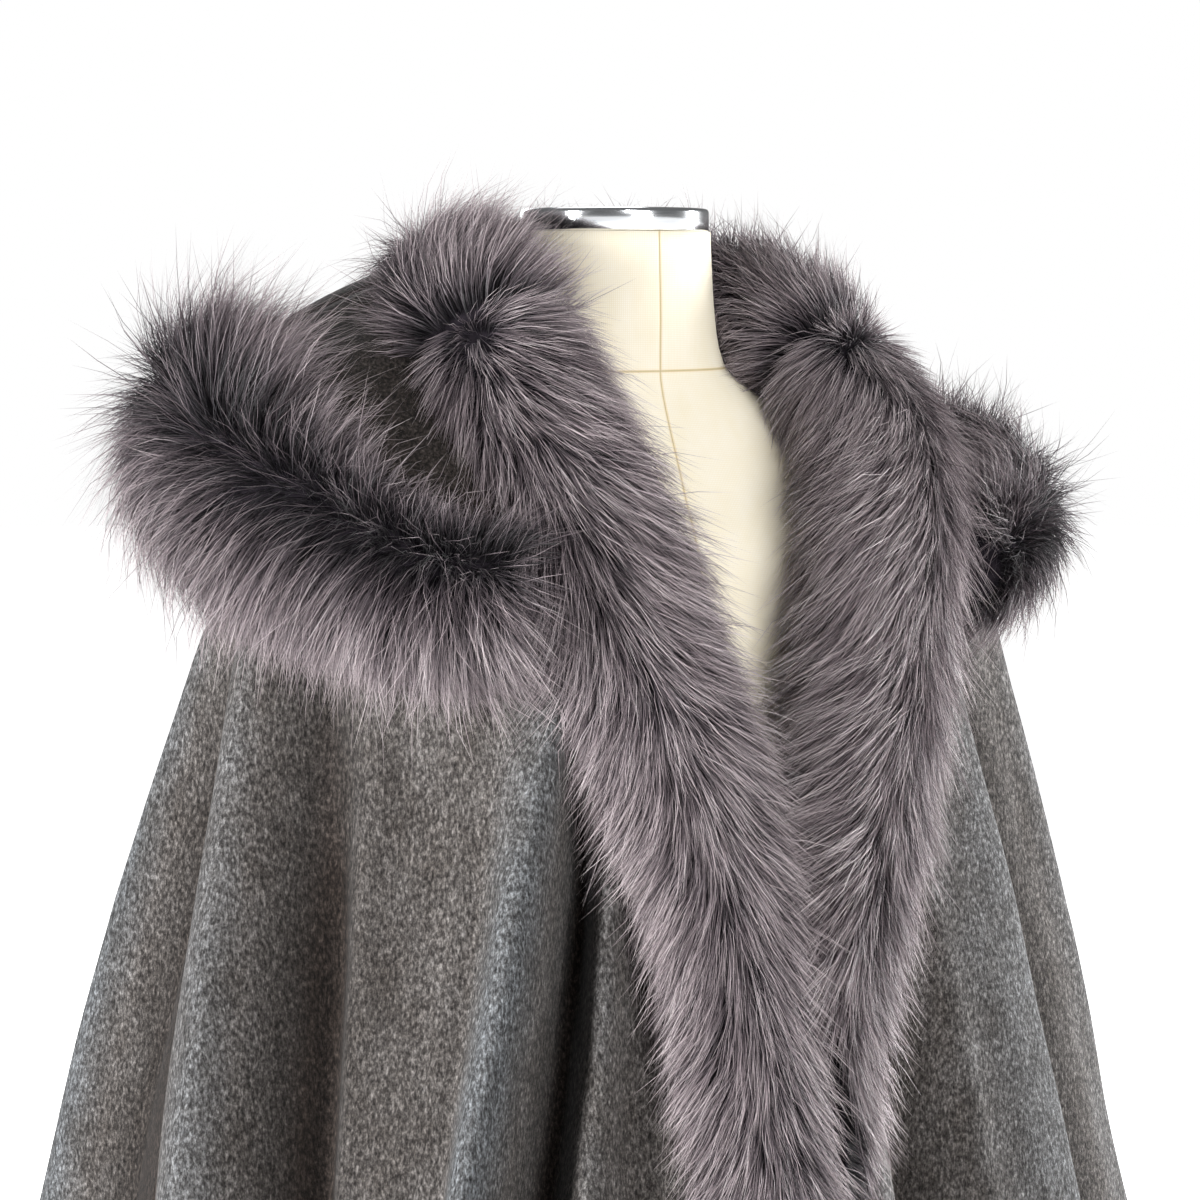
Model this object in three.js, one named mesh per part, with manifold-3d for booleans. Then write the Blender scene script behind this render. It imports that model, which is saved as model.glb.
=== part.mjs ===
// Wool cape coat with a fur collar, fur front bands and a fur-trimmed capelet, on a limbless dress form.
// Millimetres, +Z up. The garment faces -Y and its own right side is -X.
import * as THREE from "three";
import { mergeVertices } from "three/addons/utils/BufferGeometryUtils.js";
import Module from "manifold-3d";

const wasm = await Module();
wasm.setup();

// Cloth wall, and the gaps that neighbouring pieces keep
const CLOTH = 3;
const SEAM_GAP = 0.3;
const REST_GAP = 0.4;
const FIT_GAP = 0.45;

// Mesh fineness
const FRONT_COLUMNS = 30;
const BACK_COLUMNS = 21;
const OPENING_COLUMNS = 6;
const CAPE_STEPS = 15;
const CAPELET_STEPS = 5;
const CAPELET_FRONT_COLUMNS = 10;
const CAPELET_BACK_COLUMNS = 12;
const FORM_COLUMNS = 32;
const ROUND_SEGMENTS = 36;
const CAP_EDGE_STEPS = 3;
const FUR_SIDES = 12;
const FUR_STEP = 42;
const LENGTH_STEPS = 40;
const SHARE_STEP = 0.004;

// Stand under the form
const BASE_RADIUS = 200;
const BASE_THICK = 12;
const BASE_EDGE = 4;
const POLE_RADIUS = 16;
const TORSO_BOTTOM = 752;

// Neck of the form and its metal cap
const NECK_TOP = 1486;
const NECK_RADIUS = 58;
const CAP_HEIGHT = 14;
const CAP_EDGE = 3;

// The form's straight shoulder line, from the side of the neck to the shoulder tip
const SHOULDER_INNER = { halfWidth: 78, z: 1396 };
const SHOULDER_TIP = { halfWidth: 190, z: 1342 };
const SHOULDER_FALL =
  (SHOULDER_INNER.z - SHOULDER_TIP.z) / (SHOULDER_TIP.halfWidth - SHOULDER_INNER.halfWidth);

// A table as one object a row, from its column names and its rows of numbers
function table(names, rows) {
  const columns = names.split(" ");
  return rows.map((row) => Object.fromEntries(columns.map((column, i) => [column, row[i]])));
}

// Height of the form's shoulder line at a distance from the middle
function shoulderHeight(halfWidth) {
  return SHOULDER_INNER.z - (halfWidth - SHOULDER_INNER.halfWidth) * SHOULDER_FALL;
}

// Form from its flat bottom to the neck: one row a ring, depths measured from the middle
const FORM_ROWS = table("z halfWidth front back", [
  [TORSO_BOTTOM, 158, 106, 112],
  [790, 170, 113, 121],
  [860, 175, 116, 130],
  [920, 166, 111, 124],
  [970, 143, 99, 106],
  [1015, 123, 91, 90],
  [1060, 126, 94, 88],
  [1110, 137, 102, 91],
  [1160, 147, 112, 94],
  [1205, 155, 119, 95],
  [1240, 163, 121, 94],
  [1275, 177, 115, 89],
  [1305, 188, 105, 80],
  [1327, 193, 93, 68],
  [SHOULDER_TIP.z, SHOULDER_TIP.halfWidth, 86, 61],
  [shoulderHeight(153), 153, 77, 60],
  [shoulderHeight(115), 115, 68, 61],
  [SHOULDER_INNER.z, SHOULDER_INNER.halfWidth, 61, 62],
  [1412, 66, 60, 61],
  [1436, 61, 60, 60],
  [1462, 59, 59, 59],
  [NECK_TOP, NECK_RADIUS, NECK_RADIUS, NECK_RADIUS],
]);
const FORM_ROUNDNESS = 2.15;

// Height of the cape's outer face where it rests on the form's shoulder line
function onShoulder(halfWidth) {
  return shoulderHeight(halfWidth) + (CLOTH + REST_GAP) * Math.hypot(1, SHOULDER_FALL);
}

// Cape from neck to hem: one row a ring. side, front and back are heights; rightEdge and leftEdge are
// the degrees from the middle of the front where the cloth ends under the fur bands.
const CAPE_ROWS = table("side halfWidth front back frontDepth backDepth rightEdge leftEdge", [
  [onShoulder(84), 84, 1384, 1412, 74, 76, 62, 62],
  [onShoulder(122), 122, 1366, 1396, 86, 86, 50, 58],
  [onShoulder(160), 160, 1346, 1378, 98, 95, 43, 51],
  [onShoulder(188), 188, 1332, 1362, 106, 101, 39, 48],
  [1332, 214, 1319, 1343, 112, 107, 37, 45],
  [1312, 235, 1303, 1319, 118, 113, 34, 42],
  [1284, 250, 1280, 1287, 125, 119, 30, 39],
  [1243, 263, 1243, 1243, 133, 128, 25, 35],
  [1185, 277, 1185, 1185, 142, 138, 17, 29],
  [1100, 301, 1100, 1100, 158, 154, 9, 19],
  [990, 328, 990, 990, 182, 178, 5, 8],
  [850, 357, 850, 850, 212, 208, 3, 5],
  [650, 402, 650, 650, 250, 246, 2, 4],
  [430, 448, 430, 430, 286, 280, 1, 4],
]);
const CAPE_ROUNDNESS = 2.25;
const HEM_Z = 430;
const BELOW_HEM = 60;

// Folds of the cape, one row for each ridge and each hollow between: angle under the fur trim, angle
// from the waist down, in degrees from the middle of the front, height where it starts, and push in or out
const FOLD_TOP_Z = 1345;
const FOLD_FULL_Z = 1080;
const FOLD_SETTLED_Z = 900;
const FOLD_GROWTH = 0.6;
const HEM_FLARE = 0.25;
const FOLD_ROWS = table("top low start push", [
  [-122, -121, 1320, -20],
  [-110, -109, 1345, 38],
  [-100, -99, 1320, -36],
  [-90, -90, 1320, -36],
  [-82, -70.5, 1345, 16],
  [-76.5, -66.5, 1320, -50],
  [-66, -60, 1320, -14],
  [-50, -50, 1320, -2],
  [-34, -47, 1290, 34],
  [-29.5, -40, 1215, -40],
  [-25, -32, 1215, 8],
  [-20, -23, 1215, -12],
  [-12, -12, 1345, 0],
  [10, 10, 1345, 0],
  [24, 20, 1200, 8],
  [37, 32, 1200, -24],
  [46, 42, 1260, 6],
  [57, 53, 1345, 18],
  [66, 61, 1320, -34],
  [75, 72, 1345, 14],
  [81, 80, 1320, -30],
  [90, 90, 1345, 22],
  [106, 108, 1320, -30],
  [118, 123, 1345, 30],
  [132, 137, 1320, -32],
  [147, 151, 1345, 32],
  [163, 166, 1320, -14],
  [180, 180, 1345, 28],
  [198, 197, 1320, -14],
  [212, 212, 1345, 32],
  [227, 228, 1320, -30],
]);

// Fur from the right front's hem up round the neck and down to the left front's hem. across and deep
// are half the pelt's width and thickness; rise tips its parting line upward.
const RIGHT_BAND_ROWS = table("x y z across deep rise", [
  [-2, -292, 424, 50, 44, 0],
  [-4, -262, 640, 50, 45, 0],
  [-6, -223, 850, 51, 46, 0],
  [-9, -195, 980, 52, 47, 0],
  [-17, -174, 1085, 55, 48, 0],
  [-33, -160, 1160, 59, 48, 0],
  [-52, -147, 1222, 66, 48, 0],
  [-74, -130, 1286, 69, 50, 20],
  [-92, -106, 1342, 70, 54, 40],
  [-104, -70, 1392, 71, 60, 60],
]);
const COLLAR_ROWS = table("x y z across deep rise", [
  [-107, -24, 1428, 70, 65, 80],
  [-96, 32, 1449, 58, 56, 80],
  [-60, 78, 1460, 48, 49, 80],
  [0, 97, 1463, 42, 47, 80],
  [60, 79, 1458, 47, 49, 80],
  [97, 34, 1440, 55, 54, 80],
  [116, -20, 1412, 64, 61, 80],
]);
const LEFT_BAND_ROWS = table("x y z across deep rise", [
  [130, -66, 1378, 70, 58, 60],
  [130, -102, 1332, 73, 54, 40],
  [114, -126, 1275, 75, 50, 20],
  [98, -140, 1200, 74, 48, 0],
  [72, -156, 1120, 66, 45, 0],
  [43, -174, 1045, 56, 42, 0],
  [24, -193, 960, 48, 40, 0],
  [17, -216, 860, 45, 38, 0],
  [14, -257, 640, 44, 36, 0],
  [14, -290, 424, 44, 36, 0],
]);
const BAND_END_ROUND = 18;

// Extra rings at a fur piece's end: section size, and share of the end's length
const ROUND_END = [
  { size: 0.86, share: 0.55 },
  { size: 0.55, share: 1 },
];
const FLAT_END = [{ size: 1, share: 1 }];

// Capelet from its left front edge round the back to its right front edge. x, y, z, across and deep are
// the fur trim on its outer edge; neckX, neckY and neckZ are its neck edge inside the collar; belly lifts
// its middle.
const CAPELET_ROWS = table("x y z across deep neckX neckY neckZ belly", [
  [190, -108, 1280, 46, 40, 98, -48, 1396, 4],
  [240, -72, 1294, 54, 54, 104, -26, 1410, 8],
  [267, -14, 1313, 60, 58, 104, 0, 1426, 8],
  [259, 48, 1334, 60, 57, 99, 28, 1442, 8],
  [208, 98, 1340, 58, 55, 88, 60, 1457, 6],
  [136, 129, 1326, 57, 53, 62, 91, 1470, 4],
  [66, 144, 1305, 56, 52, 32, 108, 1477, 3],
  [0, 149, 1296, 56, 52, 0, 114, 1480, 3],
  [-66, 142, 1311, 57, 52, -32, 108, 1482, 3],
  [-142, 118, 1348, 60, 53, -62, 92, 1482, 4],
  [-212, 78, 1376, 66, 56, -86, 64, 1478, 6],
  [-251, 16, 1364, 76, 60, -97, 32, 1462, 10],
  [-243, -52, 1336, 74, 60, -100, 2, 1444, 12],
  [-196, -110, 1302, 61, 54, -98, -26, 1428, 10],
  [-136, -136, 1287, 52, 42, -94, -44, 1412, 4],
]);
const TRIM_GRIP = 0.45;
const TRIM_END_ROUND = 16;

// Where the capelet's pieces and its trim are joined, as shares of the way along the rows
const CAPELET_SHARES = { shoulderLeft: 0.21, back: 0.5, shoulderRight: 0.78 };
const TRIM_SHARES = { left: 0.36, right: 0.64 };

// Plain looks of the solids
const LOOKS = {
  wool: { color: 0x6c6d70, roughness: 0.95, metalness: 0 },
  fur: { color: 0x6e6468, roughness: 1, metalness: 0 },
  linen: { color: 0xefe6cf, roughness: 0.85, metalness: 0 },
  chrome: { color: 0xc9ccd0, roughness: 0.15, metalness: 1 },
  steel: { color: 0x9a9c9f, roughness: 0.32, metalness: 1 },
};

const UP = new THREE.Vector3(0, 0, 1);

// One column of a table at a share of the way along its rows, by a smooth curve
function smoothAt(rows, name, share) {
  const along = THREE.MathUtils.clamp(share, 0, 1) * (rows.length - 1);
  const i = Math.min(Math.floor(along), rows.length - 2);
  const t = along - i;
  const p1 = rows[i][name];
  const p2 = rows[i + 1][name];
  const p0 = i > 0 ? rows[i - 1][name] : 2 * p1 - p2;
  const p3 = i + 2 < rows.length ? rows[i + 2][name] : 2 * p2 - p1;
  const bend = 2 * p0 - 5 * p1 + 4 * p2 - p3;
  const twist = 3 * (p1 - p2) + p3 - p0;
  return p1 + (t * (p2 - p0 + t * (bend + t * twist))) / 2;
}

// Every column of a table at a share of the way along its rows
function rowAt(rows, share) {
  const names = Object.keys(rows[0]);
  return Object.fromEntries(names.map((name) => [name, smoothAt(rows, name, share)]));
}

// Distance from the middle to a rounded-box outline, at an angle from the front
function outlineReach(angle, halfWidth, depth, roundness) {
  const wide = Math.abs(Math.sin(angle)) / halfWidth;
  const deep = Math.abs(Math.cos(angle)) / depth;
  return (wide ** roundness + deep ** roundness) ** (-1 / roundness);
}

// How far z has come on its way down between two heights, from 0 to 1
function grown(z, fromZ, toZ) {
  return THREE.MathUtils.clamp((fromZ - z) / (fromZ - toZ), 0, 1);
}

// How far the folds push the cape out: the cloth swings smoothly from each row to the next
function foldPush(angle, z) {
  const drift = grown(z, FOLD_TOP_Z, FOLD_SETTLED_Z);
  const degrees = THREE.MathUtils.radToDeg(angle);
  const turnOf = (fold) => THREE.MathUtils.lerp(fold.top, fold.low, drift);
  const depthOf = (fold) => fold.push * grown(z, fold.start, FOLD_FULL_Z) ** FOLD_GROWTH;
  let push = 0;
  FOLD_ROWS.forEach((fold, i) => {
    const last = FOLD_ROWS.at(i - 1);
    const span = THREE.MathUtils.euclideanModulo(turnOf(fold) - turnOf(last), 360);
    const way = THREE.MathUtils.euclideanModulo(degrees - turnOf(last), 360) / span;
    const swing = THREE.MathUtils.smoothstep(way, 0, 1);
    if (way < 1) push = THREE.MathUtils.lerp(depthOf(last), depthOf(fold), swing);
  });
  return push * (1 + HEM_FLARE * grown(z, FOLD_FULL_Z, HEM_Z));
}

// A point on the cape's outer face
function capePoint(angle, share) {
  const row = rowAt(CAPE_ROWS, share);
  const toFront = Math.cos(angle);
  const end = toFront > 0 ? row.front : row.back;
  const depth = toFront > 0 ? row.frontDepth : row.backDepth;
  const z = THREE.MathUtils.lerp(row.side, end, toFront ** 2);
  const reach = outlineReach(angle, row.halfWidth, depth, CAPE_ROUNDNESS) + foldPush(angle, z);
  return new THREE.Vector3(Math.sin(angle) * reach, -Math.cos(angle) * reach, z);
}

// A point on the capelet's outer face: share runs from left front to right front, down from neck to trim
function capeletPoint(share, down) {
  const row = rowAt(CAPELET_ROWS, share);
  const neck = new THREE.Vector3(row.neckX, row.neckY, row.neckZ);
  const edge = new THREE.Vector3(row.x, row.y, row.z + row.across * TRIM_GRIP);
  const lift = 4 * down * (1 - down) * row.belly;
  return neck.lerp(edge, down).addScaledVector(UP, lift);
}

// The outward direction of a surface point(a, b), from its own neighbours
function faceDirection(point, a, b) {
  const alongA = point(a + SHARE_STEP, b).sub(point(a - SHARE_STEP, b));
  const alongB = point(a, Math.min(b + SHARE_STEP, 1)).sub(point(a, Math.max(b - SHARE_STEP, 0)));
  return alongB.cross(alongA).normalize();
}

// Triangles of a grid of rings or rows, as index triples
function gridFaces(rows, columns, first, wrap, flip) {
  const faces = [];
  const spans = wrap ? columns : columns - 1;
  for (let r = 0; r < rows - 1; r += 1) {
    for (let c = 0; c < spans; c += 1) {
      const a = first + r * columns + c;
      const b = first + r * columns + ((c + 1) % columns);
      const below = a + columns;
      const beyond = b + columns;
      faces.push(...(flip ? [a, b, below, b, beyond, below] : [a, below, b, b, below, beyond]));
    }
  }
  return faces;
}

function geometryFrom(points, faces) {
  const geometry = new THREE.BufferGeometry().setFromPoints(points);
  geometry.setIndex(faces);
  return geometry;
}

// A closed wall from its outer face, a grid of rows, and a thickness to the inside
function wallGeometry(point, rowShares, columnsAt, thickness) {
  const outer = [];
  const inner = [];
  for (const share of rowShares) {
    for (const column of columnsAt(share)) {
      const out = faceDirection(point, column, share);
      const at = point(column, share);
      outer.push(at);
      inner.push(at.clone().addScaledVector(out, -thickness));
    }
  }
  const rows = rowShares.length;
  const columns = outer.length / rows;
  const offset = outer.length;
  const faces = gridFaces(rows, columns, 0, false, false);
  faces.push(...gridFaces(rows, columns, offset, false, true));
  const rim = [];
  const lastRow = (rows - 1) * columns;
  for (let c = 0; c < columns - 1; c += 1) {
    rim.push([c, c + 1], [lastRow + c + 1, lastRow + c]);
  }
  for (let r = 0; r < rows - 1; r += 1) {
    rim.push([(r + 1) * columns, r * columns], [(r + 1) * columns - 1, (r + 2) * columns - 1]);
  }
  for (const [a, b] of rim) faces.push(a, b, a + offset, b, b + offset, a + offset);
  return geometryFrom([...outer, ...inner], faces);
}

// A closed solid from a stack of rings, each with the same number of points, with fans over both ends.
// Rings run counterclockwise as seen from the way they are stacked, or clockwise where reverse is set.
function ringGeometry(rings, reverse = false) {
  const columns = rings[0].length;
  const points = rings.flat();
  const faces = gridFaces(rings.length, columns, 0, true, !reverse);
  for (const [ring, first, flip] of [
    [rings[0], 0, !reverse],
    [rings[rings.length - 1], (rings.length - 1) * columns, reverse],
  ]) {
    const middle = ring.reduce((sum, p) => sum.add(p), new THREE.Vector3()).divideScalar(columns);
    points.push(middle);
    for (let c = 0; c < columns; c += 1) {
      const a = first + c;
      const b = first + ((c + 1) % columns);
      faces.push(...(flip ? [b, a, points.length - 1] : [a, b, points.length - 1]));
    }
  }
  return geometryFrom(points, faces);
}

// Even steps from one value to another, both included
function steps(from, to, count) {
  return Array.from({ length: count + 1 }, (_, i) => THREE.MathUtils.lerp(from, to, i / count));
}

// A geometry as a solid for booleans
function solidOf(geometry) {
  const bare = geometry.clone();
  bare.deleteAttribute("normal");
  bare.deleteAttribute("uv");
  const merged = mergeVertices(bare);
  return new wasm.Manifold(
    new wasm.Mesh({
      numProp: 3,
      vertProperties: new Float32Array(merged.attributes.position.array),
      triVerts: new Uint32Array(merged.index.array),
    }),
  );
}

function geometryOf(solid) {
  const mesh = solid.getMesh();
  const geometry = new THREE.BufferGeometry();
  geometry.setAttribute("position", new THREE.BufferAttribute(new Float32Array(mesh.vertProperties), 3));
  geometry.setIndex(new THREE.BufferAttribute(new Uint32Array(mesh.triVerts), 1));
  return geometry;
}

// A piece less its neighbours; the largest body is the piece, and the crumbs beside it are dropped
function cutBy(geometry, cutters) {
  const left = cutters.reduce((solid, cutter) => solid.subtract(cutter), solidOf(geometry));
  const bodies = left.decompose().sort((a, b) => b.volume() - a.volume());
  return geometryOf(bodies[0]);
}

// Dress form, as rings that can be grown to keep other pieces clear of it
function formGeometry(grow) {
  const rings = FORM_ROWS.map((row) =>
    steps(0, 2 * Math.PI, FORM_COLUMNS)
      .slice(1)
      .map((angle) => {
        const depth = Math.cos(angle) > 0 ? row.front : row.back;
        const reach = outlineReach(angle, row.halfWidth, depth, FORM_ROUNDNESS) + grow;
        return new THREE.Vector3(Math.sin(angle) * reach, -Math.cos(angle) * reach, row.z);
      }),
  );
  return ringGeometry(rings);
}

// A turned piece: its profile is a list of radius and height, from the axis back to the axis
function turned(profile) {
  const outline = profile.map(([radius, height]) => new THREE.Vector2(radius, height));
  return new THREE.LatheGeometry(outline, ROUND_SEGMENTS).rotateX(Math.PI / 2);
}

function capGeometry(grow) {
  const bottom = NECK_TOP + SEAM_GAP - grow;
  const top = NECK_TOP + CAP_HEIGHT + grow;
  const radius = NECK_RADIUS + grow;
  const middle = [radius - CAP_EDGE, top - CAP_EDGE];
  const edge = new THREE.EllipseCurve(...middle, CAP_EDGE, CAP_EDGE, 0, Math.PI / 2);
  const rounding = edge.getPoints(CAP_EDGE_STEPS).map((p) => [p.x, p.y]);
  return turned([[0, bottom], [radius, bottom], ...rounding, [0, top]]);
}

// The cape's outer volume, closed over its front opening and grown, to trim what lies on it. Its columns
// are the panels' own, so that it fits them facet by facet, and it runs on below the hem.
function capeVolume(grow) {
  const side = Math.PI / 2;
  const rings = steps(0, 1, CAPE_STEPS).map((share) => {
    const right = frontEdge("rightEdge", -1)(share);
    const left = frontEdge("leftEdge", 1)(share);
    const angles = [
      ...steps(-2 * side, -side, BACK_COLUMNS).slice(1),
      ...steps(-side, right, FRONT_COLUMNS).slice(1),
      ...steps(right, left, OPENING_COLUMNS).slice(1),
      ...steps(left, side, FRONT_COLUMNS).slice(1),
      ...steps(side, 2 * side, BACK_COLUMNS).slice(1),
    ];
    return angles.map((angle) => {
      const out = faceDirection(capePoint, angle, share);
      return capePoint(angle, share).addScaledVector(out, grow);
    });
  });
  const below = rings[CAPE_STEPS].map((point) => point.clone().addScaledVector(UP, -BELOW_HEM));
  return solidOf(ringGeometry([...rings, below], true));
}

// One cape panel between two edges, given as functions of the share down the cape
function capePanel(fromEdge, toEdge, columns) {
  const shares = steps(0, 1, CAPE_STEPS);
  return wallGeometry(capePoint, shares, (share) => steps(fromEdge(share), toEdge(share), columns), CLOTH);
}

// A seam edge at a fixed angle, half a seam gap to one side
function seamEdge(degrees, side) {
  const angle = THREE.MathUtils.degToRad(degrees);
  return (share) => {
    const at = capePoint(angle, share);
    return angle + (side * SEAM_GAP) / 2 / Math.hypot(at.x, at.y);
  };
}

function frontEdge(name, sign) {
  return (share) => sign * THREE.MathUtils.degToRad(smoothAt(CAPE_ROWS, name, share));
}

// Frame of a fur path: where it is, its way along, its outward direction and its way across
function furFrame(rows, share) {
  const row = rowAt(rows, share);
  const at = new THREE.Vector3(row.x, row.y, row.z);
  const ahead = rowAt(rows, share + SHARE_STEP);
  const behind = rowAt(rows, share - SHARE_STEP);
  const along = new THREE.Vector3(ahead.x - behind.x, ahead.y - behind.y, ahead.z - behind.z).normalize();
  const out = new THREE.Vector3(row.x, row.y, row.rise ?? 0);
  out.addScaledVector(along, -out.dot(along)).normalize();
  const side = new THREE.Vector3().crossVectors(out, along);
  return { row, at, along, out, side };
}

// One ring of a fur section: size scales it, grow adds to it and shift moves it along the path
function furRing({ row, at, along, out, side }, { size = 1, grow = 0, shift = 0 }) {
  const across = row.across * size + grow;
  const deep = row.deep * size + grow;
  const middle = at.clone().addScaledVector(along, shift);
  return steps(0, 2 * Math.PI, FUR_SIDES)
    .slice(1)
    .map((turn) =>
      middle
        .clone()
        .addScaledVector(side, Math.cos(turn) * across)
        .addScaledVector(out, Math.sin(turn) * deep),
    );
}

// Length of a fur path between two shares
function furLength(rows, from, to) {
  const points = steps(from, to, LENGTH_STEPS).map((share) => furFrame(rows, share).at);
  return points.slice(1).reduce((sum, point, i) => sum + point.distanceTo(points[i]), 0);
}

// A pelt or roll along a path, from one share to another. A free end is rounded off over roundStart or
// roundEnd; an end that meets the next pelt is flat, and grown along the path like the rest.
function furTube(rows, { from, to, roundStart = 0, roundEnd = 0, grow = 0 }) {
  const start = furFrame(rows, from);
  const end = furFrame(rows, to);
  const count = Math.round(furLength(rows, from, to) / FUR_STEP);
  const rings = steps(from, to, count).map((share) => furRing(furFrame(rows, share), { grow }));
  const reach = (round) => (round ? ROUND_END : grow ? FLAT_END : []);
  for (const { size, share } of reach(roundStart)) {
    rings.unshift(furRing(start, { size, grow, shift: -(roundStart + grow) * share }));
  }
  for (const { size, share } of reach(roundEnd)) {
    rings.push(furRing(end, { size, grow, shift: (roundEnd + grow) * share }));
  }
  return ringGeometry(rings);
}

// The whole fur edge as one path, and the shares at which its three pelts meet
const EDGE_ROWS = [...RIGHT_BAND_ROWS, ...COLLAR_ROWS, ...LEFT_BAND_ROWS];
const EDGE_SPANS = EDGE_ROWS.length - 1;
const COLLAR_FROM = (RIGHT_BAND_ROWS.length - 0.5) / EDGE_SPANS;
const COLLAR_TO = (RIGHT_BAND_ROWS.length + COLLAR_ROWS.length - 0.5) / EDGE_SPANS;
const EDGE_SEAM = 0.0001;
const TRIM_SEAM = 0.0002;
const CAPELET_SEAM = 0.0003;

const RIGHT_BAND = { from: 0, to: COLLAR_FROM - EDGE_SEAM, roundStart: BAND_END_ROUND };
const COLLAR = { from: COLLAR_FROM + EDGE_SEAM, to: COLLAR_TO - EDGE_SEAM };
const LEFT_BAND = { from: COLLAR_TO + EDGE_SEAM, to: 1, roundEnd: BAND_END_ROUND };
const TRIM_LEFT = { from: 0, to: TRIM_SHARES.left - TRIM_SEAM, roundStart: TRIM_END_ROUND };
const TRIM_BACK = { from: TRIM_SHARES.left + TRIM_SEAM, to: TRIM_SHARES.right - TRIM_SEAM };
const TRIM_RIGHT = { from: TRIM_SHARES.right + TRIM_SEAM, to: 1, roundEnd: TRIM_END_ROUND };

// What trims each piece, grown by the fit gap
const formFit = solidOf(formGeometry(FIT_GAP));
const capFit = solidOf(capGeometry(FIT_GAP));
const capeFit = capeVolume(FIT_GAP);
const edgeFit = (span) => solidOf(furTube(EDGE_ROWS, { ...span, grow: FIT_GAP }));
const trimFit = (span) => solidOf(furTube(CAPELET_ROWS, { ...span, grow: FIT_GAP }));
const rightBandFit = edgeFit(RIGHT_BAND);
const leftBandFit = edgeFit(LEFT_BAND);
const collarFit = edgeFit(COLLAR);
const trimFits = [TRIM_RIGHT, TRIM_BACK, TRIM_LEFT].map(trimFit);

function furEdge(span, cutters = []) {
  return cutBy(furTube(EDGE_ROWS, span), [capeFit, formFit, capFit, ...cutters]);
}

function furTrim(span) {
  return cutBy(furTube(CAPELET_ROWS, span), [capeFit, rightBandFit, leftBandFit, collarFit]);
}

// One capelet panel between two shares of the way round
function capeletPanel(from, to, columns) {
  const across = steps(from, to, columns);
  const wall = wallGeometry(capeletPoint, steps(0, 1, CAPELET_STEPS), () => across, CLOTH);
  return cutBy(wall, [capeFit, formFit, rightBandFit, leftBandFit, collarFit, ...trimFits]);
}

const coat = new THREE.Group();

function addPiece(name, geometry, look) {
  const material = new THREE.MeshStandardMaterial({ ...look, flatShading: true });
  const mesh = new THREE.Mesh(geometry, material);
  mesh.name = name;
  coat.add(mesh);
}

// Dress form and its stand
addPiece("form_torso", formGeometry(0), LOOKS.linen);
addPiece("form_neck_cap", capGeometry(0), LOOKS.chrome);
const poleBottom = BASE_THICK + SEAM_GAP;
const poleTop = TORSO_BOTTOM - SEAM_GAP;
addPiece(
  "form_pole",
  turned([[0, poleBottom], [POLE_RADIUS, poleBottom], [POLE_RADIUS, poleTop], [0, poleTop]]),
  LOOKS.steel,
);
addPiece(
  "form_base",
  turned([
    [0, 0],
    [BASE_RADIUS, 0],
    [BASE_RADIUS, BASE_THICK - BASE_EDGE],
    [BASE_RADIUS - BASE_EDGE, BASE_THICK],
    [0, BASE_THICK],
  ]),
  LOOKS.steel,
);

// Cape: two fronts and two backs, joined at the shoulder and side seams and down the centre back
const capePanels = {
  cape_front_right: capePanel(seamEdge(-90, 1), frontEdge("rightEdge", -1), FRONT_COLUMNS),
  cape_front_left: capePanel(frontEdge("leftEdge", 1), seamEdge(90, -1), FRONT_COLUMNS),
  cape_back_left: capePanel(seamEdge(90, 1), seamEdge(180, -1), BACK_COLUMNS),
  cape_back_right: capePanel(seamEdge(180, 1), seamEdge(270, -1), BACK_COLUMNS),
};
for (const [name, geometry] of Object.entries(capePanels)) addPiece(name, geometry, LOOKS.wool);

// Fur collar and front bands; the left band lies under the right one
addPiece("fur_band_right", furEdge(RIGHT_BAND), LOOKS.fur);
addPiece("fur_collar", furEdge(COLLAR), LOOKS.fur);
addPiece("fur_band_left", furEdge(LEFT_BAND, [rightBandFit]), LOOKS.fur);

// Fur trim on the capelet's outer edge
addPiece("fur_trim_right", furTrim(TRIM_RIGHT), LOOKS.fur);
addPiece("fur_trim_back", furTrim(TRIM_BACK), LOOKS.fur);
addPiece("fur_trim_left", furTrim(TRIM_LEFT), LOOKS.fur);

// Capelet: fronts and backs, joined at the shoulders and down the centre back
const { shoulderLeft, back, shoulderRight } = CAPELET_SHARES;
const capeletPanels = {
  capelet_front_left: capeletPanel(0, shoulderLeft - CAPELET_SEAM, CAPELET_FRONT_COLUMNS),
  capelet_back_left: capeletPanel(shoulderLeft + CAPELET_SEAM, back - CAPELET_SEAM, CAPELET_BACK_COLUMNS),
  capelet_back_right: capeletPanel(back + CAPELET_SEAM, shoulderRight - CAPELET_SEAM, CAPELET_BACK_COLUMNS),
  capelet_front_right: capeletPanel(shoulderRight + CAPELET_SEAM, 1, CAPELET_FRONT_COLUMNS),
};
for (const [name, geometry] of Object.entries(capeletPanels)) addPiece(name, geometry, LOOKS.wool);

export default coat;
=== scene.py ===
# Looks of the wool cape coat on its dress form: napped melange wool, long fur, linen, polished metal.
import math

import bpy
import numpy as np
from mathutils import Matrix, Vector
from mathutils.bvhtree import BVHTree
from mathutils.kdtree import KDTree


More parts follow.
